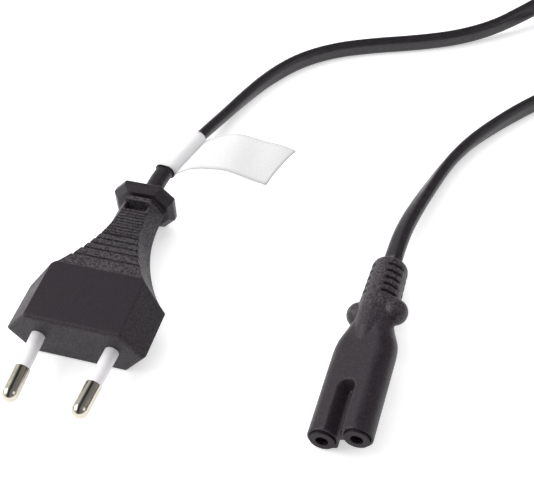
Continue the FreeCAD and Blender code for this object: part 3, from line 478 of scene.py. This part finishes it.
# %% [markdown]
# The turns of the coil lie side by side and on top of each other, in three columns and three
# layers. A loop lays them, because nobody places two hundred points by hand. A list says in which
# order the cord fills the places of the stack, and each turn eases over to its next place near
# its end.

# %% Places in the coil
COIL_CENTRE = Vector((70.5, 151.89, 0))
COIL_MEAN_RADIUS = 28.0
COIL_BOTTOM = 0.9
TURN_GAP = 0.2
# column from the middle outwards, and layer from the floor upwards
LAY_ORDER = [(3, 1), (2, 1), (1, 1), (1, 2), (2, 2), (1, 3), (2, 3), (3, 3), (3, 2)]


def turn_place(position):
    """Radius and height of one place in the coil's stack of turns."""
    column, layer = position
    radius = COIL_MEAN_RADIUS + (column - 2) * (CORD_WIDTH + TURN_GAP)
    height = COIL_BOTTOM + CORD_THICKNESS / 2 + (layer - 1) * (CORD_THICKNESS + TURN_GAP)
    return Vector((radius, height))


def on_coil(angle, radius, height):
    """A point at an angle round the coil."""
    return COIL_CENTRE + Vector((radius * math.cos(angle), radius * math.sin(angle), height))


outer_radius, outer_height = turn_place(LAY_ORDER[0])
print("first turn", round(2 * outer_radius, 1), "mm across,", outer_height, "mm above the floor")

# %% Turns and tails of the coil
ENTER_ANGLE = math.radians(-80)
LEAVE_ANGLE = math.radians(142)
COIL_TAIL = 21.0
COIL_APPROACH = 11.5
TAIL_SHARE = 0.4
FULL_TURNS = 8
POINTS_PER_TURN = 24
# share of a turn after which it eases over to its next place
CROSSING = 0.83


def eased(share):
    """A share from 0 to 1 that starts and ends gently."""
    share = min(1, max(0, share))
    return share * share * (3 - 2 * share)


def coil_tail(angle, way, position):
    """The straight tail that touches the coil at an angle, and the run that leads to it."""
    touch = on_coil(angle, *turn_place(position))
    onward = Vector((-math.sin(angle), math.cos(angle), 0)) * way
    distances = (COIL_TAIL + COIL_APPROACH, COIL_TAIL, COIL_TAIL * TAIL_SHARE)
    return [touch + onward * distance for distance in distances]


def coil_turns():
    """Points of all the turns, from where the cord enters the coil to where it leaves it."""
    sweep = LEAVE_ANGLE - ENTER_ANGLE + 2 * math.pi * FULL_TURNS
    count = round(sweep / (2 * math.pi) * POINTS_PER_TURN)
    # a spline of this order cuts inside its points, so they stand out by that much
    outward = 1 / math.cos(math.pi / POINTS_PER_TURN) ** 0.5
    points = []
    for index in range(count + 1):
        turned = sweep * index / count
        number, within = divmod(turned / (2 * math.pi), 1)
        here = turn_place(LAY_ORDER[int(number)])
        after = turn_place(LAY_ORDER[min(int(number) + 1, len(LAY_ORDER) - 1)])
        radius, height = here.lerp(after, eased((within - CROSSING) / (1 - CROSSING)))
        points.append(on_coil(ENTER_ANGLE + turned, radius * outward, height))
    return points


route = [CONNECTOR_EXIT, CONNECTOR_EXIT + Vector((0, CONNECTOR_LEAD_OUT, 0))]
route += [Vector(point) for point in CONNECTOR_ROUTE]
route += coil_tail(ENTER_ANGLE, -1, LAY_ORDER[0])
route += coil_turns()
route += reversed(coil_tail(LEAVE_ANGLE, 1, LAY_ORDER[-1]))
route += [Vector(point) for point in reversed(PLUG_ROUTE)]
route += [PLUG_EXIT + Vector((0, PLUG_LEAD_OUT, 0)), PLUG_EXIT]
print(len(route), "control points on the cord's route")

# %% [markdown]
# Blender works the spline out once, as a curve without thickness. The points along it are read
# off and the helper curve is thrown away.

# %% Points along a smooth line
SAMPLES_PER_POINT = 6


def spline_points(points, name):
    """Points read along a smooth spline through a route, in millimetres."""
    curve = bpy.data.curves.new(name, "CURVE")
    curve.dimensions = "3D"
    spline = curve.splines.new("NURBS")
    spline.points.add(len(points) - 1)
    for control, point in zip(spline.points, points):
        control.co = (point.x, point.y, point.z, 1)
    spline.order_u = 3
    spline.use_endpoint_u = True
    curve.resolution_u = SAMPLES_PER_POINT
    holder = bpy.data.objects.new(name, curve)
    line = bpy.data.meshes.new_from_object(holder)
    spots = [vertex.co.copy() for vertex in line.vertices]
    bpy.data.objects.remove(holder)
    bpy.data.curves.remove(curve)
    bpy.data.meshes.remove(line)
    return spots


def length_of(points):
    """Length of a line through points."""
    return sum((b - a).length for a, b in zip(points, points[1:]))


smooth_line = spline_points(route, "cord_line")
print(len(smooth_line), "points along", round(length_of(smooth_line)), "mm")

# %% [markdown]
# A flat cord bends easily only over its thin side. So where it curves along the floor it turns up
# on its edge, and it lies flat again in the coil. Two short tables say how far it is rolled at a
# distance from each end. The line is lifted by what the rolled section needs to stay on the
# floor.

# %% Roll and lift the cord
UP = Vector((0, 0, 1))
# from the middle of the section to the centre of each of its half circles
CORD_SPREAD = (CORD_WIDTH - CORD_THICKNESS) / 2
LIFT_FADE = 30.0
# distance in millimetres and roll in degrees, the right side up as seen from that end
CONNECTOR_ROLL = [(0, 25), (12, 27), (47, 66), (80, 98), (112, 180)]
PLUG_ROLL = [(0, 0), (8, 2), (38, 58), (75, 95), (136, 98), (166, 180)]


def rolled(marks, distance):
    """The roll in radians at a distance from the cord's end, eased between a table's marks."""
    for (start, roll), (end, next_roll) in zip(marks, marks[1:]):
        if distance < end:
            share = eased((distance - start) / (end - start))
            return math.radians(roll + (next_roll - roll) * share)
    return math.radians(marks[-1][1])


def cord_roll(distance, length):
    """The roll of the whole cord, which two tables give from its two ends."""
    if distance < length / 2:
        return rolled(CONNECTOR_ROLL, distance)
    return -rolled(PLUG_ROLL, length - distance)


def lifted(points):
    """The line raised where the cord stands on its edge, so that the edge rests on the floor."""
    length = length_of(points)
    raised_points = []
    distance = 0.0
    for previous, point in zip([points[0]] + points, points):
        distance += (point - previous).length
        fade = min(1, distance / LIFT_FADE, (length - distance) / LIFT_FADE)
        height = CORD_SPREAD * abs(math.sin(cord_roll(distance, length))) * fade
        raised_points.append(point + UP * height)
    return raised_points


cord_line = lifted(smooth_line)
cord_length = length_of(cord_line)
print("cord", round(cord_length), "mm long")

# %% [markdown]
# The section is two half circles joined by straight sides, and it is carried along the line ring
# by ring. A bevelled curve would do for a round cord, but it twists an oval one at will, so the
# rings are placed here: each stands across the line, and is turned by the roll at its place.

# %% Rings of the cord
SECTION_STEPS = 8


def oval(width, thickness):
    """Corners of a flat cord's section, once round."""
    radius = thickness / 2
    spread = width / 2 - radius
    corners = []
    for side, start in ((1, -90), (-1, 90)):
        for step in range(SECTION_STEPS + 1):
            angle = math.radians(start + 180 * step / SECTION_STEPS)
            corners.append((side * spread + radius * math.cos(angle), radius * math.sin(angle)))
    return corners


def rings_along(shape, points, section, roll_at):
    """Rings of mesh corners across a line; roll_at gives their roll at a distance."""
    rings = []
    travelled = 0.0
    for index, point in enumerate(points):
        previous = points[max(index - 1, 0)]
        following = points[min(index + 1, len(points) - 1)]
        along = (following - previous).normalized()
        travelled += (point - previous).length
        across = along.cross(UP).normalized()
        across = Matrix.Rotation(-roll_at(travelled), 3, along) @ across
        up = across.cross(along)
        corners = [(point + across * x + up * y) * MM for x, y in section]
        rings.append([shape.verts.new(corner) for corner in corners])
    return rings


cord_section = oval(CORD_WIDTH, CORD_THICKNESS)
print(len(cord_section), "corners in each ring of the cord")


# %% Skin of the cord
def swept_piece(name, points, section, roll_at):
    """A closed piece: rings along a line, a skin between them and a lid on each end."""
    shape = bmesh.new()
    rings = rings_along(shape, points, section, roll_at)
    for ring, following in zip(rings, rings[1:]):
        for corner in range(len(section)):
            beside = (corner + 1) % len(section)
            shape.faces.new((ring[corner], ring[beside], following[beside], following[corner]))
    shape.faces.new(list(reversed(rings[0])))
    shape.faces.new(rings[-1])
    bmesh.ops.recalc_face_normals(shape, faces=shape.faces)
    mesh = bpy.data.meshes.new(name)
    shape.to_mesh(mesh)
    shape.free()
    for face in mesh.polygons:
        face.use_smooth = len(face.vertices) == 4
    piece = bpy.data.objects.new(name, mesh)
    scene.collection.objects.link(piece)
    return piece


cord = swept_piece(
    "cord", cord_line, cord_section, lambda travelled: cord_roll(travelled, cord_length)
)
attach(cord, "root")
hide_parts("cord_connector_side", "cord_coil", "cord_plug_side")
cord.data.materials.append(sheath)
print("cord with", len(cord.data.vertices), "points")

# %% [markdown]
# The paper is one strip: it goes once round the cord, and its two ends are stuck together into a
# flag. So its outline, seen along the cord, runs from the flag's end back to the cord, round it,
# and out again just below. That outline is carried along the cord for the width of the strip. A
# cloth simulation could drape the paper, but a drawn outline gives the same shape each time. The
# wrap is blank.

# %% Outline of the paper
# how loosely the paper lies on the cord, and between the flag's layers, in millimetres
PAPER_LOOSE = 0.45
PAPER_GAP = 0.12
LOOP_STEPS = 32
# how quickly the outline moves over from one half circle of the section to the other
CORNER_SHARPNESS = 4
# distance from the cord's side, and height above the root, along the flag's upper layer
FLAG_OUTLINE = [
    (0.0, 0.0),
    (2.0, 1.2),
    (4.5, 3.0),
    (8.0, 3.8),
    (12.0, 4.0),
    (16.0, 3.6),
    (20.0, 3.0),
    (23.0, 2.3),
    (25.3, 1.6),
]


def flag_layer(drop):
    """Points of one layer of the flag, from the cord outwards, a little below the upper one."""
    root = CORD_WIDTH / 2 + PAPER_LOOSE
    controls = [Vector((root + away, height - drop, 0)) for away, height in FLAG_OUTLINE]
    return [Vector((point.x, point.y)) for point in spline_points(controls, "flag_line")]


def wrapped(roll):
    """Points round the rolled cord: from its right side over the top, and back underneath."""
    radius = CORD_THICKNESS / 2 + PAPER_LOOSE
    lie = Vector((math.cos(roll), math.sin(roll)))
    points = []
    for step in range(1, LOOP_STEPS):
        angle = 2 * math.pi * step / LOOP_STEPS
        outward = Vector((math.cos(angle), math.sin(angle)))
        side = max(-1, min(1, CORNER_SHARPNESS * outward.dot(lie)))
        points.append(lie * CORD_SPREAD * side + outward * radius)
    return points


upper = flag_layer(0.0)
lower = flag_layer(PAPER_GAP)

# %% [markdown]
# Paper that hangs free doesn't follow the cord: its root turns with it, but further out it swings
# round to one direction, curls up in the middle and waves a little. Each grows from nothing at
# the cord to its full amount a short way out.

# %% Rows of the paper
PAPER_FROM = 11.7
PAPER_WIDTH = 16.5
PAPER_STEPS = 12
FLARE_LENGTH = 8.0
FLAG_DIRECTION = Vector((1, 0, 0))
# height of the curl and of the wave, in millimetres
CURL = 0.35
WAVE = 0.25
# how far the wave turns, in radians, with each millimetre outwards and over the paper's width
WAVE_PER_MM = 0.45
WAVE_SHIFT = 2.4


def along_route(points, distance):
    """Point and direction at a distance along a list of points."""
    travelled = 0.0
    for start, end in zip(points, points[1:]):
        run = (end - start).length
        if travelled + run >= distance:
            return start.lerp(end, (distance - travelled) / run), (end - start).normalized()
        travelled += run
    return points[-1], (points[-1] - points[-2]).normalized()


def flag_root(roll):
    """How far the flag's root moves when the cord below the wrap rolls."""
    return Vector((math.cos(roll) - 1, math.sin(roll))) * CORD_SPREAD


def paper_row(points, share):
    """Points of the paper across one place of the cord, from one end of the strip to the other."""
    distance = PAPER_FROM + PAPER_WIDTH * share
    middle, onward = along_route(points, distance)
    aside = onward.cross(UP).normalized()
    above = aside.cross(onward)
    roll = rolled(PLUG_ROLL, distance)

    def hanging(point):
        flare = min(1, max(0, (point.x - CORD_WIDTH / 2) / FLARE_LENGTH))
        way = aside.lerp(FLAG_DIRECTION, flare)
        curl = CURL * math.sin(math.pi * share) * flare
        wave = WAVE * math.sin(point.x * WAVE_PER_MM + share * WAVE_SHIFT) * flare
        shifted = point + flag_root(roll) * (1 - flare)
        return middle + way * shifted.x + above * (shifted.y + curl + wave)

    inwards = [hanging(point) for point in reversed(upper)]
    loop = [middle + (aside * point.x + above * point.y) for point in wrapped(roll)]
    outwards = [hanging(point) for point in lower]
    return inwards + loop + outwards


from_plug = list(reversed(cord_line))
paper_rows = [paper_row(from_plug, step / PAPER_STEPS) for step in range(PAPER_STEPS + 1)]
print(len(paper_rows), "rows of", len(paper_rows[0]), "points")

# %% [markdown]
# The rows become a sheet of four-sided faces, and a modifier gives it the thickness of paper.

# %% Mesh of the paper
PAPER_THICKNESS = 0.12

shape = bmesh.new()
rows = [[shape.verts.new(spot * MM) for spot in row] for row in paper_rows]
for row, following in zip(rows, rows[1:]):
    for index in range(len(row) - 1):
        shape.faces.new((row[index], row[index + 1], following[index + 1], following[index]))
for face in shape.faces:
    face.smooth = True
bmesh.ops.recalc_face_normals(shape, faces=shape.faces)
paper_mesh = bpy.data.meshes.new("paper_wrap")
shape.to_mesh(paper_mesh)
shape.free()

paper_wrap = bpy.data.objects.new("paper_wrap", paper_mesh)
scene.collection.objects.link(paper_wrap)
thick = paper_wrap.modifiers.new("thick", "SOLIDIFY")
thick.thickness = PAPER_THICKNESS * MM
thick.offset = 0
paper_mesh.materials.append(paper)
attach(paper_wrap, "root")
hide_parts("cord_label")
print("paper with", len(paper_mesh.polygons), "faces")

# %% [markdown]

# %% [markdown]
# The photograph is a white studio shot. A large floor shines a little by itself, so that it comes
# out white and still keeps a faint shadow. More light on a plain floor would bleach the lead too.
# The view transform is Standard, which shows white as white and doesn't soften the brightest parts.

# %% Floor
FLOOR_REACH = 3.0
FLOOR_WHITE = (0.84, 0.84, 0.84)
FLOOR_GLOW = 0.48

scene.view_settings.view_transform = "Standard"
floor_mesh = bpy.data.meshes.new("floor")
corners = [(-1, -1), (1, -1), (1, 1), (-1, 1)]
floor_corners = [(x * FLOOR_REACH, y * FLOOR_REACH, 0) for x, y in corners]
floor_mesh.from_pydata(floor_corners, [], [(0, 1, 2, 3)])
floor = bpy.data.objects.new("floor", floor_mesh)
scene.collection.objects.link(floor)
floor_paint, _, floor_shader = new_material(
    "floor_white", FLOOR_WHITE, roughness=0.9, specular=0.0
)
floor_shader.inputs["Emission Color"].default_value = (1, 1, 1, 1)
floor_shader.inputs["Emission Strength"].default_value = FLOOR_GLOW
floor_mesh.materials.append(floor_paint)
print("floor", 2 * FLOOR_REACH, "m wide")

# %% [markdown]
# The surroundings do three things. They give soft light, mostly from above. What shiny things
# mirror is a room with a bright side, a dark middle and a grey side, which draws the dark streaks
# on the pins. The camera itself sees a plain white backdrop above the floor. A photographed room
# could do the work of all three, but then the light, the mirror image and the backdrop would be
# one and the same. Here the kind of ray chooses.

# %% Surroundings
LIGHT_BY_HEIGHT = [(0.0, 0.2), (0.3, 0.3), (0.7, 0.75), (1.0, 1.0)]
MIRRORED_BY_SIDE = [
    (0.0, 1.0),
    (0.2, 1.0),
    (0.27, 0.55),
    (0.36, 0.06),
    (0.56, 0.05),
    (0.62, 0.35),
    (0.75, 0.3),
    (1.0, 0.4),
]
BACKDROP_WHITE = (1.5, 1.5, 1.5)
SURROUNDINGS_STRENGTH = 0.7


def value_bands(tree, value, name, stops):
    """Grey bands along a value between 0 and 1."""
    bands = tree.nodes.new("ShaderNodeValToRGB")
    bands.label = name
    tree.links.new(value, bands.inputs["Fac"])
    elements = bands.color_ramp.elements
    while len(elements) < len(stops):
        elements.new(0.5)
    for element, (position, shade) in zip(elements, stops):
        element.position = position
        element.color = (shade, shade, shade, 1)
    return bands.outputs["Color"]


world = bpy.data.worlds.new("studio")
world.use_nodes = True
scene.world = world
tree = world.node_tree
direction = tree.nodes.new("ShaderNodeTexCoord").outputs["Generated"]
ray = tree.nodes.new("ShaderNodeLightPath")
soft = value_bands(tree, one_axis(tree, direction, "Z"), "soft light", LIGHT_BY_HEIGHT)
side = ranged(tree, one_axis(tree, direction, "X"), 0.0, 1.0, -1.0, 1.0)
mirrored = value_bands(tree, side, "mirrored room", MIRRORED_BY_SIDE)
lit = blended(tree, ray.outputs["Is Glossy Ray"], soft, mirrored)
seen = blended(tree, ray.outputs["Is Camera Ray"], lit, BACKDROP_WHITE)
background = tree.nodes["Background"]
tree.links.new(seen, background.inputs["Color"])
background.inputs["Strength"].default_value = SURROUNDINGS_STRENGTH
print("surroundings with", len(LIGHT_BY_HEIGHT), "and", len(MIRRORED_BY_SIDE), "bands")

# %% [markdown]
# Three large soft lamps do the rest: a strong one from the left, which puts the pale gleam on the
# plug's left side, a weak one from the right, and one from behind that shiny surfaces don't
# mirror. A small lamp or a sun would draw hard shadows, which the photograph doesn't have.

# %% Lamps
# the place that the lamps face
LIT_PLACE = mm(-30, 20, 5)


def soft_lamp(name, azimuth, elevation, distance, size, power, mirrored=True):
    """A lamp that faces the lead; angles in degrees, lengths in metres, power in watts."""
    lamp_data = bpy.data.lights.new(name, "AREA")
    lamp_data.shape = "RECTANGLE"
    lamp_data.size, lamp_data.size_y = size
    lamp_data.energy = power
    lamp = bpy.data.objects.new(name, lamp_data)
    lamp.visible_glossy = mirrored
    turn = math.radians(azimuth)
    rise = math.radians(elevation)
    level = math.cos(rise)
    way = Vector((math.cos(turn) * level, math.sin(turn) * level, math.sin(rise)))
    lamp.location = LIT_PLACE + way * distance
    lamp.rotation_euler = way.to_track_quat("Z", "Y").to_euler()
    scene.collection.objects.link(lamp)
    print("lamp", name, "with", power, "W")


soft_lamp("left", azimuth=190, elevation=38, distance=0.75, size=(0.7, 0.45), power=4.4)
soft_lamp("right", azimuth=0, elevation=30, distance=0.8, size=(0.5, 0.45), power=0.7)
soft_lamp(
    "back", azimuth=95, elevation=50, distance=0.85, size=(0.9, 0.4), power=3.3, mirrored=False
)
